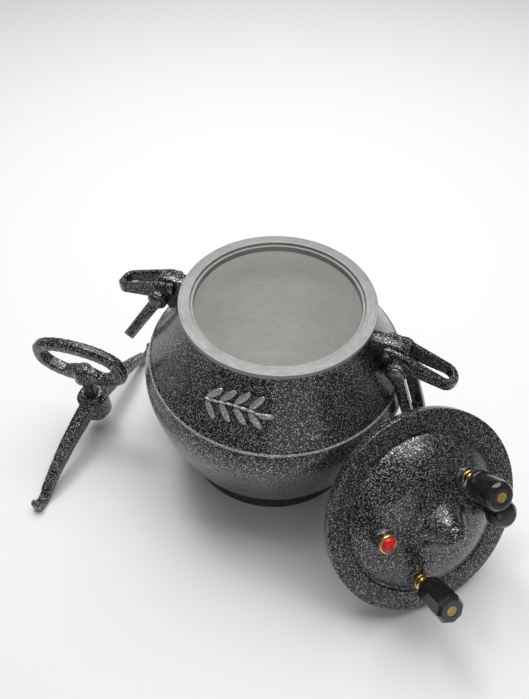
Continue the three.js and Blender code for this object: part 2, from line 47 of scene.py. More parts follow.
def first_point(name, place):
    """Leaves one loose vertex selected in edit mode, as the start of an outline."""
    bpy.ops.object.select_all(action="DESELECT")
    bpy.ops.mesh.primitive_plane_add(size=0.001)
    piece = bpy.context.object
    piece.name = piece.data.name = name
    bpy.ops.object.mode_set(mode="EDIT")
    bpy.ops.mesh.merge(type="CENTER")
    bpy.ops.transform.translate(value=place)
    return piece


def draw_on(points):
    """Extrudes the last point along the rest of an outline."""
    for here, there in zip(points, points[1:]):
        step = Vector(there) - Vector(here)
        bpy.ops.mesh.extrude_region_move(TRANSFORM_OT_translate={"value": step})


def eased(points, radius, steps=4):
    """The outline with its corners rounded, for edges that are cast or broken by a file."""
    soft = [tuple(points[0])]
    for before, here, after in zip(points, points[1:], points[2:]):
        back, ahead = Vector(before) - Vector(here), Vector(after) - Vector(here)
        if back.length < 1e-6 or ahead.length < 1e-6 or back.angle(ahead) > radians(165):
            soft.append(tuple(here))
            continue
        reach = min(radius, 0.45 * back.length, 0.45 * ahead.length)
        start, end = (Vector(here) + d.normalized() * reach for d in (back, ahead))
        for i in range(steps + 1):
            t = i / steps
            corner = start * (1 - t) ** 2 + Vector(here) * 2 * t * (1 - t) + end * t * t
            soft.append(tuple(corner))
    return soft + [tuple(points[-1])]


def turned(name, profile, sides=64, place=Matrix(), angle=35):
    """Spins a millimetre outline of (radius, height) about the piece's own axis."""
    points = [(r / 1000, 0, z / 1000) for r, z in profile]
    piece = first_point(name, points[0])
    draw_on(points)
    bpy.ops.mesh.select_all(action="SELECT")
    bpy.ops.mesh.spin(steps=sides, angle=2 * pi, center=(0, 0, 0), axis=(0, 0, 1))
    bpy.ops.mesh.select_all(action="SELECT")
    bpy.ops.mesh.remove_doubles(threshold=1e-6)
    bpy.ops.mesh.normals_make_consistent(inside=False)
    bpy.ops.object.mode_set(mode="OBJECT")
    piece.data.transform(place)
    bpy.ops.object.shade_smooth_by_angle(angle=radians(angle))
    return piece


def pushed(name, outline, depth, place=Matrix(), bevel=1.2):
    """Fills a millimetre outline of (x, z), gives it depth along Y and softens its edges."""
    points = [(x / 1000, -depth / 2000, z / 1000) for x, z in outline]
    piece = first_point(name, points[0])
    draw_on(points)
    bpy.ops.mesh.select_all(action="SELECT")
    bpy.ops.mesh.edge_face_add()
    bpy.ops.mesh.extrude_region_move(TRANSFORM_OT_translate={"value": (0, depth / 1000, 0)})
    bpy.ops.mesh.select_all(action="SELECT")
    bpy.ops.mesh.normals_make_consistent(inside=False)
    bpy.ops.object.mode_set(mode="OBJECT")
    round_over = piece.modifiers.new("edges", "BEVEL")
    round_over.width, round_over.segments, round_over.angle_limit = bevel / 1000, 3, radians(30)
    bpy.ops.object.modifier_apply(modifier="edges")
    piece.data.transform(place)
    bpy.ops.object.shade_smooth_by_angle(angle=radians(35))
    return piece


def joined(name, first, *others):
    """Puts several meshes into the first one's object."""
    bpy.ops.object.select_all(action="DESELECT")
    for each in others:
        each.select_set(True)
    first.select_set(True)
    bpy.context.view_layer.objects.active = first
    bpy.ops.object.join()
    first.name = first.data.name = name
    return first


def settle(piece, material, body, slot, *nodes):
    """Gives a piece its finish and the body that it moves with, and hides the CAD nodes it stands
    for.
    """
    if material is not None:
        piece.data.materials.clear()
        piece.data.materials.append(material)
    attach(piece, body)
    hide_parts(*nodes)
    return piece


def group_of_nodes(name, inputs, outputs):
    """An empty shader node group with its named sockets, and its two end nodes."""
    tree = bpy.data.node_groups.new(name, "ShaderNodeTree")
    for label, kind, value in inputs:
        made = tree.interface.new_socket(label, in_out="INPUT", socket_type=kind)
        if value is not None:
            made.default_value = value
    for label, kind in outputs:
        tree.interface.new_socket(label, in_out="OUTPUT", socket_type=kind)
    return tree, tree.nodes.new("NodeGroupInput"), tree.nodes.new("NodeGroupOutput")


def noise_in(tree, vector, scale, detail, roughness=0.5, distortion=0.0):
    """Cloudy noise, whose scale is a number or another node's output."""
    made = tree.nodes.new("ShaderNodeTexNoise")
    made.inputs["Detail"].default_value = detail
    made.inputs["Roughness"].default_value = roughness
    made.inputs["Distortion"].default_value = distortion
    tree.links.new(vector, made.inputs["Vector"])
    if isinstance(scale, (int, float)):
        made.inputs["Scale"].default_value = scale
    else:
        tree.links.new(scale, made.inputs["Scale"])
    return made.outputs["Fac"]


def maths(tree, operation, first, second=0.0):
    """One sum on two values, each of them a number or another node's output."""
    made = tree.nodes.new("ShaderNodeMath")
    made.operation = operation
    for socket, value in zip(made.inputs, (first, second)):
        if isinstance(value, (int, float)):
            socket.default_value = value
        else:
            tree.links.new(value, socket)
    return made.outputs[0]


def spread(tree, value, low, high, out_low, out_high):
    """Maps a value from one range to another with soft ends."""
    made = tree.nodes.new("ShaderNodeMapRange")
    made.interpolation_type = "SMOOTHSTEP"
    for label, number in zip(("From Min", "From Max", "To Min", "To Max"),
                             (low, high, out_low, out_high)):
        made.inputs[label].default_value = number
    tree.links.new(value, made.inputs["Value"])
    return made.outputs["Result"]


def blended(tree, mask, first, second):
    """A colour between two others, as the mask says."""
    made = tree.nodes.new("ShaderNodeMix")
    made.data_type = "RGBA"
    tree.links.new(mask, made.inputs["Factor"])
    for label, value in (("A", first), ("B", second)):
        socket = [s for s in made.inputs if s.name == label and s.type == "RGBA"][0]
        if isinstance(value, tuple):
            socket.default_value = value
        else:
            tree.links.new(value, socket)
    return [s for s in made.outputs if s.type == "RGBA"][0]


# Hammer finish: silver cells with wandering edges that float on a black ground.
hammer, ins, outs = group_of_nodes(
    "hammer finish",
    [("Vector", "NodeSocketVector", None), ("Cells", "NodeSocketFloat", 780.0),
     ("Ground", "NodeSocketColor", (0.004, 0.004, 0.0045, 1)),
     ("Silver", "NodeSocketColor", (0.56, 0.56, 0.565, 1))],
    [("Color", "NodeSocketColor"), ("Metallic", "NodeSocketFloat"),
     ("Roughness", "NodeSocketFloat"), ("Height", "NodeSocketFloat")])
worm = noise_in(hammer, ins.outputs["Vector"], ins.outputs["Cells"], 2.0, 0.55, 0.7)
drift = noise_in(hammer, ins.outputs["Vector"], 45.0, 2.0)
thin = maths(hammer, "MULTIPLY", maths(hammer, "SUBTRACT", drift, 0.5), 0.06)
flake = spread(hammer, maths(hammer, "ADD", worm, thin), 0.535, 0.615, 0.0, 1.0)
dust = noise_in(hammer, ins.outputs["Vector"], 1500.0, 1.0)
tint = maths(hammer, "MULTIPLY", flake, spread(hammer, dust, 0.3, 0.7, 0.65, 1.0))
hammer.links.new(blended(hammer, tint, ins.outputs["Ground"], ins.outputs["Silver"]),
                 outs.inputs["Color"])
hammer.links.new(spread(hammer, flake, 0.0, 1.0, 0.30, 1.0), outs.inputs["Metallic"])
hammer.links.new(spread(hammer, flake, 0.0, 1.0, 0.20, 0.31), outs.inputs["Roughness"])
hammer.links.new(flake, outs.inputs["Height"])

# Lathe rings: close circles about the pot's axis, with a slow smear round each one.
rings, ins, outs = group_of_nodes(
    "lathe rings",
    [("Vector", "NodeSocketVector", None), ("Fineness", "NodeSocketFloat", 900.0)],
    [("Rings", "NodeSocketFloat"), ("Smear", "NodeSocketFloat")])
axes = rings.nodes.new("ShaderNodeSeparateXYZ")
rings.links.new(ins.outputs["Vector"], axes.inputs[0])
across = maths(rings, "SQRT", maths(rings, "ADD",
                                    maths(rings, "MULTIPLY", axes.outputs[0], axes.outputs[0]),
                                    maths(rings, "MULTIPLY", axes.outputs[1], axes.outputs[1])))
around = maths(rings, "ARCTAN2", axes.outputs[1], axes.outputs[0])
for smear, label in ((0.0, "Rings"), (0.012, "Smear")):
    line = rings.nodes.new("ShaderNodeCombineXYZ")
    rings.links.new(across, line.inputs[0])
    rings.links.new(axes.outputs[2], line.inputs[1])
    rings.links.new(maths(rings, "MULTIPLY", around, smear), line.inputs[2])
    rings.links.new(noise_in(rings, line.outputs[0], ins.outputs["Fineness"], 3.0, 0.6),
                    outs.inputs[label])


def new_material(name, group, bump, distance, **values):
    """A material fed by one of the groups, with a bump from the group's height."""
    material = bpy.data.materials.new(name)
    material.use_nodes = True
    tree = material.node_tree
    shader = tree.nodes["Principled BSDF"]
    place = tree.nodes.new("ShaderNodeTexCoord")
    pattern = tree.nodes.new("ShaderNodeGroup")
    pattern.node_tree = group
    tree.links.new(place.outputs["Object"], pattern.inputs["Vector"])
    for label, value in values.items():
        pattern.inputs[label].default_value = value
    for label, socket in (("Color", "Base Color"), ("Metallic", "Metallic"),
                          ("Roughness", "Roughness")):
        if label in pattern.outputs:
            tree.links.new(pattern.outputs[label], shader.inputs[socket])
    relief = tree.nodes.new("ShaderNodeBump")
    relief.inputs["Strength"].default_value = bump
    relief.inputs["Distance"].default_value = distance
    tree.links.new(pattern.outputs["Height"], relief.inputs["Height"])
    tree.links.new(relief.outputs["Normal"], shader.inputs["Normal"])
    return material, shader


paint, shader = new_material("hammered grey paint", hammer, 0.5, 0.00035)
shader.inputs["Coat Weight"].default_value = 0.18
shader.inputs["Coat Roughness"].default_value = 0.16

# The foot's flakes are made near black, so the foot is darker than the rest of the outside.
darker_foot_paint, shader = new_material("darker paint on the foot", hammer, 0.4, 0.0003,
                                  Silver=(0.12, 0.12, 0.12, 1))
# A painted highlight: light grey ground and near-white flakes for the parting ridge and the sprig's
# raised tops.
highlight_paint, shader = new_material("painted highlight on ridge and sprig", hammer, 0.35, 0.0003,
                              Ground=(0.30, 0.30, 0.30, 1), Silver=(0.85, 0.85, 0.85, 1))


def turned_metal(name, dull, bright, smooth, rough, metallic):
    """Bare aluminium with lathe circles about the pot's axis and a slow cloud of oxide."""
    material = bpy.data.materials.new(name)
    material.use_nodes = True
    tree = material.node_tree
    shader = tree.nodes["Principled BSDF"]
    shader.inputs["Metallic"].default_value = metallic
    place = tree.nodes.new("ShaderNodeTexCoord")
    lathe = tree.nodes.new("ShaderNodeGroup")
    lathe.node_tree = rings
    tree.links.new(place.outputs["Object"], lathe.inputs["Vector"])
    streak = maths(tree, "ADD", maths(tree, "MULTIPLY", lathe.outputs["Rings"], 0.4),
                   maths(tree, "MULTIPLY", lathe.outputs["Smear"], 0.6))
    cloud = noise_in(tree, place.outputs["Object"], 22.0, 4.0, 0.6)
    mixed = maths(tree, "ADD", maths(tree, "MULTIPLY", streak, 0.7),
                  maths(tree, "MULTIPLY", cloud, 0.3))
    tree.links.new(blended(tree, spread(tree, mixed, 0.35, 0.65, 0.0, 1.0), dull, bright),
                   shader.inputs["Base Color"])
    tree.links.new(spread(tree, streak, 0.35, 0.65, rough, smooth), shader.inputs["Roughness"])
    relief = tree.nodes.new("ShaderNodeBump")
    relief.inputs["Strength"].default_value = 0.3
    relief.inputs["Distance"].default_value = 0.00015
    tree.links.new(streak, relief.inputs["Height"])
    tree.links.new(relief.outputs["Normal"], shader.inputs["Normal"])
    return material


# The inside's bare metal is made very pale: painted light that stands in for the light the deep pot
# keeps out.
inside_metal_painted_light = turned_metal("turned aluminium brightened as painted light", (0.80, 0.80, 0.785, 1), (0.97, 0.97, 0.96, 1),
                    0.34, 0.55, 0.30)
# The rim and the lid's bare faces take a darker copy of the same turned metal: painted shade.
rim_metal_painted_shade = turned_metal("turned rim darkened as painted shade", (0.22, 0.22, 0.217, 1), (0.33, 0.33, 0.326, 1),
                         0.50, 0.62, 0.40)

# Heights and radii of the casting, in millimetres from the table and from its own axis.
foot_top, widest, seam, neck_top = 25, 138, 164.8, 230.6
foot_radius, belly_radius, seam_radius, neck_radius = 108, 145.4, 137.8, 97
wall, throat_radius = 7, 85
roundness, hollow = 1.35, 8


def pot_radius(z):
    """The outside radius: a round belly, a soft turn at the widest, a slightly hollow shoulder."""
    if z <= widest:
        turn = acos((1 - (z - foot_top) / (widest - foot_top)) ** (1 / roundness))
        return foot_radius + (belly_radius - foot_radius) * sin(turn) ** roundness
    if z <= seam:
        return belly_radius - (belly_radius - seam_radius) * ((z - widest) / (seam - widest)) ** 2
    t = (z - seam) / (neck_top - seam)
    return seam_radius - (seam_radius - neck_radius) * t - hollow * t * (1 - t)


belly = [foot_top + (widest - foot_top) * (1 - cos(pi / 2 * i / 30) ** roundness)
         for i in range(31)]
upper = [widest + (seam - 0.6 - widest) * i / 8 for i in range(1, 9)]
shoulder = [seam + 2 + (neck_top - seam - 2) * i / 18 for i in range(19)]
outside = eased([(0, 0), (109, 0), (111, 2), (111, 5), (110.3, 5.8), (110.3, 8.2), (111, 9),
                 (111, 12), (110.3, 12.8), (110.3, 15.2), (111, 16), (111, 22), (108, 25)], 0.8, 3)
outside += [(pot_radius(z), z) for z in belly[1:] + upper]
outside += eased([(137.9, 164.2), (138.7, 164.9), (138.4, 165.8), (136.8, 166.6)], 0.5, 3)
outside += [(pot_radius(z), z) for z in shoulder]
lip = [(97, 231), (100, 233.6), (100, 238.6), (88, 238.6), (88, 235.6), (85, 235.6), (85, 229)]
outside += eased(lip, 0.8, 4)
inner = [z for z in reversed(belly[6:] + upper + shoulder) if z < 228]
outside += [(max(pot_radius(z) - wall, throat_radius), z) for z in inner]
outside += eased([(105.5, 24), (101.5, 13), (98, 7), (0, 7)], 7, 5)
pot = turned("pot_casting", outside, 160, angle=40)

lug_side = [(95, 226.5), (126, 226.5), (131.5, 225.6), (136, 222), (139, 216), (140, 209), (140, 200),
            (138.5, 193.5), (134.5, 189), (128, 187), (125.2, 182), (121.6, 182.5), (116.5, 190),
            (104, 210)]
lug_thickness = 15.4
lugs = [pushed("lug", lug_side, lug_thickness, Matrix.Rotation(turn, 4, "Z"), 1.4)
        for turn in (0, pi)]

# A plain raised sprig on the front of the shoulder, cast with the pot.
leaves = []


def on_shoulder(angle, z):
    """The frame of the shoulder's skin at a compass angle in degrees and a height."""
    a = radians(angle)
    r, slope = pot_radius(z), (pot_radius(z + 0.5) - pot_radius(z - 0.5))
    out = Vector((cos(a), sin(a), -slope)).normalized()
    east = Vector((-sin(a), cos(a), 0))
    spot = Vector((r * cos(a), r * sin(a), z)) / 1000
    frame_ = Matrix((east, out.cross(east), out)).transposed().to_4x4()
    return Matrix.Translation(spot) @ frame_


leaf_lift = 0.0030
sprig = [(-88 + 3.6 * i, 199 + 3.0 * cos(i * 0.5)) for i in range(-4, 5)]
for i, (angle, z) in enumerate(sprig):
    shapes = [(0, 0, 0.0050, 0.0017)]
    if i % 2 == 0 and i < 8:
        shapes += [(7.5, 48, 0.0105, 0.0038), (-7.5, -48, 0.0105, 0.0038)]
    if i == 8:
        shapes += [(0, 0, 0.0085, 0.0032)]
    for rise, tilt, long, wide in shapes:
        bpy.ops.object.select_all(action="DESELECT")
        bpy.ops.mesh.primitive_uv_sphere_add(segments=20, ring_count=10, radius=1)
        leaf = bpy.context.object
        bpy.ops.object.mode_set(mode="EDIT")
        bpy.ops.transform.resize(value=(long, wide, leaf_lift))
        bpy.ops.object.mode_set(mode="OBJECT")
        shift = 2.4 if rise else 0
        leaf.data.transform(on_shoulder(angle + shift, z + rise)
                            @ Matrix.Rotation(radians(tilt), 4, "Z"))
        bpy.ops.object.shade_smooth_by_angle(angle=radians(40))
        leaves.append(leaf)
pot = joined("pot_casting", pot, *lugs, *leaves)
for finish in (paint, inside_metal_painted_light, darker_foot_paint, highlight_paint, rim_metal_painted_shade):
    pot.data.materials.append(finish)
painted, inside, on_foot, painted_highlight, on_rim = range(5)
# The parting ridge and the raised tops of the sprig take the painted highlight.
for face in pot.data.polygons:
    x, y, z = (1000 * v for v in face.center)
    r = hypot(x, y)
    face.material_index = painted
    if z > 229 and (84 < r < 86.5 or z > 233.2) and r < 101:
        face.material_index = on_rim
    elif z > 6.5 and r < (pot_radius(z) - 3 if z > foot_top else 106.5):
        face.material_index = inside
    elif z < 24.5:
        face.material_index = on_foot
    elif 163.7 < z < 166.7 and 136 < r < 140:
        face.material_index = painted_highlight
    elif 180 < z < 222 and r > pot_radius(z) + 0.9 and y < -85:
        face.material_index = painted_highlight
settle(pot, None, "pot", "cast_hammered", "pot_body")

# --- handles ----------------------------------------------------------------------------------
# Each handle is a long loop cast in aluminium. Its two plates straddle the pot's lug, and it
# carries the same hammer finish, thicker in the corners and rounded over every edge.


def cast_copy(name, node, rounds=6):
    """A copy of a CAD solid with the soft edges that sand casting and thick paint give it."""
    bpy.ops.object.select_all(action="DESELECT")
    piece = bpy.data.objects.new(name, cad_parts[node].data.copy())
    bpy.context.collection.objects.link(piece)
    piece.select_set(True)
    bpy.context.view_layer.objects.active = piece
    bpy.ops.object.mode_set(mode="EDIT")
    bpy.ops.mesh.select_all(action="SELECT")
    bpy.ops.mesh.remove_doubles(threshold=1e-6)
    bpy.ops.object.mode_set(mode="OBJECT")
    even = piece.modifiers.new("even skin", "REMESH")
    even.mode, even.voxel_size = "VOXEL", 0.0009
    bpy.ops.object.modifier_apply(modifier="even skin")
    soft = piece.modifiers.new("soft edges", "SMOOTH")
    soft.factor, soft.iterations = 0.5, rounds
    bpy.ops.object.modifier_apply(modifier="soft edges")
    bpy.ops.object.shade_smooth_by_angle(angle=radians(60))
    return piece


for side in ("left", "right"):
    loop = cast_copy(f"handle_{side}_casting", f"handle_{side}")
    settle(loop, paint, "pot", "cast_hammered", f"handle_{side}")

# --- shackles ---------------------------------------------------------------------------------
# The two stirrups that the clamp beam hooks under. Each is one aluminium casting with two eyes,
# painted as the pot is, and it swings on a steel pin through the lug and the handle.

for side in ("left", "right"):
    stirrup = cast_copy(f"shackle_{side}_casting", f"shackle_{side}")
    settle(stirrup, paint, f"shackle_{side}", "cast_hammered", f"shackle_{side}")

# --- pins and rivets --------------------------------------------------------------------------
# Zinc-plated steel. The pins have one domed head and one peened end; the rivets are domed at
# both ends and hold the handle plates to the lug.

# Fine grain: slow patches and a close speckle on any moulded, drawn or worn surface.
grain, ins, outs = group_of_nodes(
    "fine grain",
    [("Vector", "NodeSocketVector", None), ("Patch", "NodeSocketFloat", 60.0),
     ("Speckle", "NodeSocketFloat", 1800.0), ("Clean", "NodeSocketColor", (0.5, 0.5, 0.5, 1)),
     ("Worn", "NodeSocketColor", (0.4, 0.4, 0.4, 1)), ("Smoothest", "NodeSocketFloat", 0.2),
     ("Dullest", "NodeSocketFloat", 0.4)],
    [("Color", "NodeSocketColor"), ("Roughness", "NodeSocketFloat"),
     ("Height", "NodeSocketFloat")])
patch = noise_in(grain, ins.outputs["Vector"], ins.outputs["Patch"], 4.0, 0.6)
speck = noise_in(grain, ins.outputs["Vector"], ins.outputs["Speckle"], 2.0)
mask = spread(grain, maths(grain, "ADD", maths(grain, "MULTIPLY", patch, 0.75),
                           maths(grain, "MULTIPLY", speck, 0.25)), 0.38, 0.64, 0.0, 1.0)
grain.links.new(blended(grain, mask, ins.outputs["Clean"], ins.outputs["Worn"]),
                outs.inputs["Color"])
room = maths(grain, "SUBTRACT", ins.outputs["Dullest"], ins.outputs["Smoothest"])
grain.links.new(maths(grain, "ADD", ins.outputs["Smoothest"], maths(grain, "MULTIPLY", room, mask)),
                outs.inputs["Roughness"])
grain.links.new(speck, outs.inputs["Height"])

zinc, shader = new_material("zinc plated steel", grain, 0.15, 0.0001,
                            Clean=(0.26, 0.26, 0.26, 1), Worn=(0.10, 0.10, 0.10, 1),
                            Smoothest=0.26, Dullest=0.42)
shader.inputs["Metallic"].default_value = 1.0
along_y = Matrix.Rotation(radians(-90), 4, "X")
head_seat, rivet_seat = 22.5, 13.5
pin_reach, pin_height, rivet_reach, rivet_height = 0.131, 0.204, 0.1175, 0.2165
for side, turn in (("left", -1), ("right", 1)):
    shape = [(0, -head_seat - 4.2), (5, -head_seat - 3.6), (8, -head_seat - 2), (9, -head_seat),
             (5, -head_seat), (5, head_seat), (7.5, head_seat), (7, head_seat + 2.4),
             (0, head_seat + 3)]
    pin = turned(f"shackle_pin_{side}_turned", eased(shape, 0.7), 40,
                 Matrix.Translation((turn * pin_reach, 0, pin_height)) @ along_y)
    settle(pin, zinc, "pot", "bright_steel", f"shackle_pin_{side}")
    shape = [(0, -rivet_seat - 2.2), (3, -rivet_seat - 1.8), (4.6, -rivet_seat), (3, -rivet_seat),
             (3, rivet_seat), (4.6, rivet_seat), (3, rivet_seat + 1.8), (0, rivet_seat + 2.2)]
    rivet = turned(f"handle_rivet_{side}_turned", eased(shape, 0.5), 28,
                   Matrix.Translation((turn * rivet_reach, 0, rivet_height)) @ along_y)
    settle(rivet, zinc, "pot", "bright_steel", f"handle_rivet_{side}")

# --- lid --------------------------------------------------------------------------------------
# A domed aluminium casting with a flat flange, a skirt that covers the pot's rim, a ring that
# drops into the mouth, and a solid nose in the middle that takes the clamp screw's pad.

# The lid stands on its flange and leans back against the pot.
facing, lean = radians(-44.9), radians(55)
lid_place = (Matrix.Translation((0.2005, -0.091, 0.0953234)) @ Matrix.Rotation(facing, 4, "Z")
             @ Matrix.Rotation(lean, 4, "Y"))
dome_height, crown_radius, dome_edge, lid_wall = 26, 24, 83, 6


def dome(r):
    """The height of the lid's outside above its flange."""
    return dome_height * (1 - max(0, (r - crown_radius) / (dome_edge - crown_radius)) ** 2.2)


nose = [(0, 53.6), (3.7, 53.3), (7.4, 52.0), (9.9, 49.1), (10.5, 46.1)]
cone = [(30 - 17.5 * (i / 14) ** 0.75, 26 + 19.6 * (i / 14) ** 1.6) for i in range(14, 0, -1)]
skin = [(r, dome(r)) for r in [34 + 49 * i / 26 for i in range(27)]]
edge = eased([(dome_edge, 0), (84, -1.4), (86.5, -1.4), (87.5, 0), (109, 0), (109, -10), (103, -10),
              (103, -6), (86.5, -6), (86.5, -14), (82, -14), (82, -5)], 1.4, 4)
under = [(r, dome(r) - lid_wall) for r in [78.5 - 48.5 * i / 16 for i in range(17)]]
shell = turned("lid_casting", eased(nose, 1, 3) + cone + [(31.5, 25.8)] + skin + edge[1:] + under
               + [(18, 23), (0, 26)], 144, angle=38)

# Where the four fittings go through the lid, in millimetres from its middle, on round pads.
fittings = {"exhaust": (-37, 37), "regulator": (54, -30), "release": (7, 61), "safety": (-5, -60)}


def pad_top(spot):
    """Where the pad's upper face lies: just clear of the dome at the pad's inner side."""
    return dome(hypot(*spot) - 9.5) + 0.4


def pad_bottom(spot):
    """Where the pad's lower face lies: just clear of the dome's inside at its outer side."""
    return dome(hypot(*spot) + 9.5) - lid_wall - 0.4


def at_fitting(spot):
    """The place of a fitting's own axis on the leaning lid."""
    return lid_place @ Matrix.Translation((spot[0] / 1000, spot[1] / 1000, 0))


pads = []
pad_radius = 10.5
shell.data.transform(lid_place)
for spot in fittings.values():
    low, high = pad_bottom(spot), pad_top(spot)
    side = eased([(0, low), (pad_radius, low), (pad_radius, high), (0, high)], 1.0)
    pads.append(turned("pad", side, 40, at_fitting(spot)))
shell = joined("lid_casting", shell, *pads)
# The lid's groove, lining and underside take the rim's darkened metal, painted shade.
for finish in (paint, rim_metal_painted_shade):
    shell.data.materials.append(finish)
for face in shell.data.polygons:
    spot = lid_place.inverted() @ face.center * 1000
    r = hypot(spot.x, spot.y)
    groove = spot.z < -5 and r < 103.4
    lining = 28 < r < 84 and spot.z < dome(r) - 4
    under_nose = r <= 28 and spot.z < 26.1
    face.material_index = 1 if groove or lining or under_nose or spot.z < -9.6 else 0
settle(shell, None, "lid", "cast_hammered", "lid_shell")

# --- gasket -----------------------------------------------------------------------------------
# A moulded ring of off-white rubber. It is pushed into the groove under the lid's flange and
# seals on top of the pot's rim.

gasket_rubber, shader = new_material("off-white rubber", grain, 0.2, 0.0002,
                                     Clean=(0.62, 0.60, 0.55, 1), Worn=(0.50, 0.48, 0.42, 1),
                                     Smoothest=0.55, Dullest=0.75)
ring = eased([(87.5, -8.6), (87.5, -11), (101, -11), (101, -6.3), (87.5, -6.3), (87.5, -8.6)], 0.9)
gasket = turned("lid_gasket_ring", ring, 128, lid_place)
settle(gasket, gasket_rubber, "lid", "white_rubber", "lid_gasket")

# --- valve stems, nuts and washers ------------------------------------------------------------
# Turned brass stems stand on the pads and go through the lid. A red rubber washer and a
# hexagon nut close each one from below.

brass, shader = new_material("turned brass", grain, 0.12, 0.00012,
                             Clean=(0.78, 0.57, 0.25, 1), Worn=(0.58, 0.39, 0.15, 1),
                             Smoothest=0.16, Dullest=0.34)
shader.inputs["Metallic"].default_value = 1.0
red, shader = new_material("red silicone", grain, 0.12, 0.0002,
                           Clean=(0.62, 0.012, 0.010, 1), Worn=(0.45, 0.010, 0.008, 1),
                           Smoothest=0.22, Dullest=0.38)
cap_top = 70
stem_tops = {"exhaust": cap_top - 10, "regulator": cap_top - 10,
             "release": pad_top(fittings["release"]) + 19}


def fasteners(name, spot):
    """The washer and the hexagon nut under the lid at one fitting."""
    top = pad_bottom(spot) - 0.3
    shape = [(5.3, top - 0.6), (5.3, top - 1.2), (9, top - 1.2), (9, top), (5.3, top),
             (5.3, top - 0.6)]
    washer = turned(f"{name}_washer_ring", eased(shape, 0.3, 3), 40, at_fitting(spot))
    settle(washer, red, "lid", "red_rubber", f"{name}_washer")
    top = top - 1.5
    shape = [(5.3, top - 2.5), (5.3, top - 5), (8.4, top - 5), (9.5, top - 4.3), (9.5, top - 0.7),
             (8.4, top), (5.3, top), (5.3, top - 2.5)]
    nut = turned(f"{name}_nut_hexagon", shape, 6, at_fitting(spot), 25)
    settle(nut, brass, "lid", "brass", f"{name}_nut")


for name, top in stem_tops.items():
    spot = fittings[name]
    seat, tail = pad_top(spot) + 0.3, pad_bottom(spot) - 10.2
    shape = [(0, tail), (4.2, tail), (5, tail + 0.8), (5, seat), (8.5, seat), (8.5, seat + 2.6),
             (7.9, seat + 3.1), (6.4, seat + 3.4), (5.4, seat + 4.2), (5.4, seat + 5),
             (6, seat + 5.6), (6, top - 2), (4, top), (0, top)]
    stem = turned(f"{name}_stem_turned", eased(shape, 0.35, 3), 48, at_fitting(spot))
    settle(stem, brass, "lid", "brass", f"{name}_stem")
    fasteners(name, spot)

# --- valve caps and badges --------------------------------------------------------------------
# Black phenolic mouldings that drop over the stems: a round one with a fine step near its foot,
# and an eight-sided one. A stamped gilt disc with a plain flower sits in the face of each.

phenolic, shader = new_material("black phenolic", grain, 0.08, 0.0001,
                                Clean=(0.008, 0.008, 0.009, 1), Worn=(0.014, 0.014, 0.015, 1),
                                Smoothest=0.12, Dullest=0.24)
shader.inputs["Coat Weight"].default_value = 0.4
shader.inputs["Coat Roughness"].default_value = 0.05
gilt, shader = new_material("stamped gilt", grain, 0.1, 0.0001,
                            Clean=(0.75, 0.53, 0.20, 1), Worn=(0.50, 0.33, 0.11, 1),
                            Smoothest=0.22, Dullest=0.40)
shader.inputs["Metallic"].default_value = 1.0
for name, sides in (("exhaust", 72), ("regulator", 8)):
    spot, is_round = fittings[name], sides > 8
    low = pad_top(spot) + 12.3
    shape = [(0, cap_top - 9), (6.6, cap_top - 9), (6.6, low), (12.3, low), (13.7, low + 1.5)]
    if is_round:
        shape += [(13.9, low + 5), (13.3, low + 5.6), (13.3, low + 6.4), (14.1, low + 7)]
    shape += [(14.5, low + 9), (14.5, cap_top - 3), (12.1, cap_top), (5.9, cap_top),
              (5.3, cap_top - 0.5), (5.3, cap_top - 1.2), (0, cap_top - 1.2)]
    cap = turned(f"{name}_cap_moulding", eased(shape, 0.8 if is_round else 0.01, 4), sides,
                 at_fitting(spot), 35 if is_round else 20)
    if not is_round:
        round_over = cap.modifiers.new("edges", "BEVEL")
        round_over.width, round_over.segments, round_over.angle_limit = 0.0007, 3, radians(25)
        bpy.ops.object.modifier_apply(modifier="edges")
        bpy.ops.object.shade_smooth_by_angle(angle=radians(30))
    settle(cap, phenolic, f"{name}_cap", "black_phenolic", f"{name}_cap")
    face = cap_top - 0.2
    disc = turned("disc", eased([(0, face - 0.7), (5, face - 0.7), (5, face), (4.3, face),
                                 (4.0, face - 0.3), (1.2, face - 0.3), (0, face + 0.05)], 0.15, 3),
                  40, at_fitting(spot))
    petals = []
    for i in range(6):
        bpy.ops.object.select_all(action="DESELECT")
        bpy.ops.mesh.primitive_uv_sphere_add(segments=12, ring_count=6, radius=0.001)
        petal = bpy.context.object
        bpy.ops.object.mode_set(mode="EDIT")
        bpy.ops.transform.resize(value=(1.15, 0.55, 0.35))
        bpy.ops.object.mode_set(mode="OBJECT")
        petal.data.transform(at_fitting(spot) @ Matrix.Rotation(i * pi / 3, 4, "Z")
                             @ Matrix.Translation((0.0024, 0, (face - 0.25) / 1000)))
        bpy.ops.object.shade_smooth_by_angle(angle=radians(40))
        petals.append(petal)
    badge = joined(f"{name}_badge_stamping", disc, *petals)
    settle(badge, gilt, f"{name}_cap", "gilt", f"{name}_badge")

# --- release knob -----------------------------------------------------------------------------
# A black phenolic moulding with fine ribs for the fingers, pressed over its brass stem. It is
# turned to let the steam out.

spot = fittings["release"]
low = pad_top(spot) + 5.3
shape = [(0, low + 14), (6.3, low + 14), (6.3, low), (12, low), (14.6, low + 3), (15, low + 4),
         (15, low + 7.5), (15, low + 11), (14.4, low + 12.5), (13, low + 16), (9, low + 19),
         (0, low + 19)]
knob = turned("release_knob_moulding", eased(shape, 0.8, 3), 120, angle=50)
ribs, rib_depth = 24, 0.045
for point in knob.data.vertices:
    r = hypot(point.co.x, point.co.y) * 1000
    if r > 13.6:
        rib = 1 - rib_depth * (0.5 - 0.5 * cos(ribs * atan2(point.co.y, point.co.x)))
        point.co.x, point.co.y = point.co.x * rib, point.co.y * rib
knob.data.transform(at_fitting(spot))
settle(knob, phenolic, "release_knob", "black_phenolic", "release_knob")

# --- safety plug ------------------------------------------------------------------------------
# A turned brass bush is screwed through the lid and holds a moulded plug of soft red silicone,
# which blows out if all else fails.

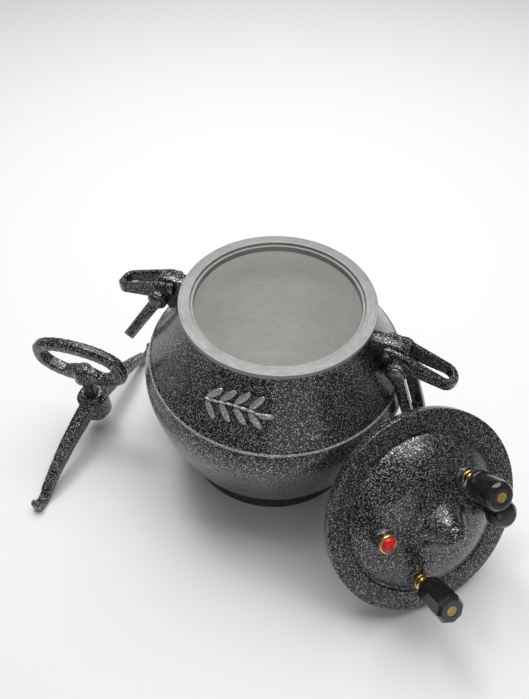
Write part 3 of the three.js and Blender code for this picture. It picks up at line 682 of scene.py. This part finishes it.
spot = fittings["safety"]
seat, tail = pad_top(spot) + 0.3, pad_bottom(spot) - 9.2
shape = [(3.3, seat), (3.3, tail), (5, tail), (5, seat), (9.5, seat), (9.5, seat + 5),
         (8.4, seat + 6), (7.7, seat + 6), (7.7, seat + 2.5), (3.3, seat + 2.5), (3.3, seat)]
bush = turned("safety_bush_turned", eased(shape, 0.5, 3), 56, at_fitting(spot))
settle(bush, brass, "lid", "brass", "safety_bush")
low = seat + 2.8
dome_side = [(7.4 * cos(a), low + 2.4 + 4.9 * sin(a)) for a in [pi / 2 * i / 12 for i in range(13)]]
plug = turned("safety_plug_moulding", [(0, tail), (3, tail), (3, low), (6.9, low), (7.4, low + 0.5)]
              + dome_side, 48, at_fitting(spot), 50)
settle(plug, red, "safety_plug", "red_rubber", "safety_plug")
fasteners("safety", spot)

# --- clamp beam -------------------------------------------------------------------------------
# The bowed aluminium casting that spans the lid, painted as the pot is. It has a boss for the
# screw in the middle and a notch above each tip that hooks under a shackle.

clamp_place = Matrix.Translation((-0.2138, -0.076, 0))
beam = cast_copy("clamp_beam_casting", "clamp_beam", 8)
settle(beam, paint, "clamp_beam", "cast_hammered", "clamp_beam")

# --- screw and its pad ------------------------------------------------------------------------
# Blackened steel. The screw has a rolled right-hand thread of 2.5 mm pitch, and its foot turns
# in a loose round pad that presses on the lid's nose.

black_steel, shader = new_material("blackened steel", grain, 0.2, 0.00015,
                                   Clean=(0.20, 0.195, 0.19, 1), Worn=(0.06, 0.058, 0.055, 1),
                                   Smoothest=0.26, Dullest=0.46)
shader.inputs["Metallic"].default_value = 1.0
shape = [(0, 20), (3, 19.5), (6, 17), (7, 16), (9, 16), (10, 17), (10, 23.5), (8.5, 26.5),
         (5.3, 26.5), (5.3, 21.2), (0, 21.2)]
pad = turned("screw_pad_turned", eased(shape, 0.4, 3), 48, clamp_place)
settle(pad, black_steel, "screw_pad", "dark_steel", "screw_pad")
core = turned("core", eased([(0, 21.4), (5, 21.4), (5, 26.9), (5.9, 28.2), (5.9, 108), (4.6, 111),
                             (0, 111)], 0.4, 3), 40)
tooth = [(0.0055, 0, 0.0288), (0.0070, 0, 0.0296), (0.0070, 0, 0.0301), (0.0055, 0, 0.0309),
         (0.0055, 0, 0.0288)]
thread = first_point("thread", tooth[0])
draw_on(tooth)
bpy.ops.mesh.select_all(action="SELECT")
bpy.ops.mesh.remove_doubles(threshold=1e-6)
bpy.ops.object.mode_set(mode="OBJECT")
wind = thread.modifiers.new("thread", "SCREW")
pitch, turns, steps_round = 0.0025, 26, 32
wind.screw_offset, wind.iterations = pitch, turns
wind.steps = wind.render_steps = steps_round
wind.use_merge_vertices = False
bpy.ops.object.modifier_apply(modifier="thread")
bpy.ops.object.mode_set(mode="EDIT")
bpy.ops.mesh.select_all(action="SELECT")
bpy.ops.mesh.fill_holes(sides=8)
bpy.ops.mesh.normals_make_consistent(inside=False)
bpy.ops.object.mode_set(mode="OBJECT")
bpy.ops.object.shade_smooth_by_angle(angle=radians(35))
screw = joined("clamp_screw_threaded", core, thread)
yaw = clamp_place @ Matrix.Rotation(radians(5), 4, "Z")
screw.data.transform(yaw)
settle(screw, black_steel, "clamp_screw", "dark_steel", "clamp_screw")

# --- loop handle ------------------------------------------------------------------------------
# An oval aluminium casting with a hub in its cross bar, painted as the pot is. A steel pin
# across the hub holds it on top of the screw, and a hand turns it.

grip = cast_copy("loop_handle_casting", "loop_handle", 10)
settle(grip, paint, "clamp_screw", "cast_hammered", "loop_handle")
cross = turned("loop_pin_turned", eased([(0, -12), (2, -12), (2, 12), (0, 12)], 0.4, 3), 24,
               yaw @ Matrix.Translation((0, 0, 0.10325)) @ along_y)
settle(cross, zinc, "clamp_screw", "bright_steel", "loop_pin")

# --- table, light and camera ------------------------------------------------------------------
# A large sheet of pale card. A wide lamp hangs above, a small one at the upper left, and a weak
# one stands low at the front right. The camera looks down from the front, a little to the right.

bpy.ops.object.select_all(action="DESELECT")
bpy.ops.mesh.primitive_plane_add(size=12, location=(0, 0, -0.0004))
table = bpy.context.object
table.name = "table"
card = bpy.data.materials.new("pale card")
card.use_nodes = True
shader = card.node_tree.nodes["Principled BSDF"]
shader.inputs["Base Color"].default_value = (0.86, 0.86, 0.865, 1)
shader.inputs["Roughness"].default_value = 0.6
table.data.materials.append(card)

world = bpy.data.worlds.new("studio")
world.use_nodes = True
world.node_tree.nodes["Background"].inputs["Color"].default_value = (1.0, 1.0, 1.0, 1)
world.node_tree.nodes["Background"].inputs["Strength"].default_value = 0.16
bpy.context.scene.world = world
bpy.context.scene.view_settings.view_transform = "Standard"


def soft_box(name, place, target, size, power):
    """A rectangular lamp, aimed at a point, with its size in metres and its power in watts."""
    lamp = bpy.data.lights.new(name, "AREA")
    lamp.shape, lamp.size, lamp.size_y, lamp.energy = "RECTANGLE", size[0], size[1], power
    holder = bpy.data.objects.new(name, lamp)
    bpy.context.collection.objects.link(holder)
    aim = (Vector(target) - Vector(place)).to_track_quat("-Z", "Y").to_matrix().to_4x4()
    holder.matrix_world = Matrix.Translation(place) @ aim


soft_box("ceiling", (-0.1, 0.75, 2.2), (0, 0.1, 0), (2.6, 2.0), 60)
soft_box("key", (-0.60, 0.30, 1.5), (0, 0, 0.1), (0.35, 0.30), 4)
soft_box("front", (0.95, -1.20, 0.60), (0.1, -0.05, 0.12), (1.10, 0.80), 2.6)

view = bpy.data.cameras.new("camera")
view.sensor_fit, view.sensor_height, view.lens = "VERTICAL", 36, 28.84
view.clip_start = 0.01
camera = bpy.data.objects.new("camera", view)
bpy.context.collection.objects.link(camera)
right, up = (0.9264, 0.3762, 0.0130), (-0.2917, 0.6956, 0.6565)
ahead = (-0.2380, 0.6120, -0.7542)
turn = Matrix((right, up, tuple(-v for v in ahead))).transposed().to_4x4()
camera.matrix_world = Matrix.Translation((0.1359, -0.3838, 0.6269)) @ turn
bpy.context.scene.camera = camera
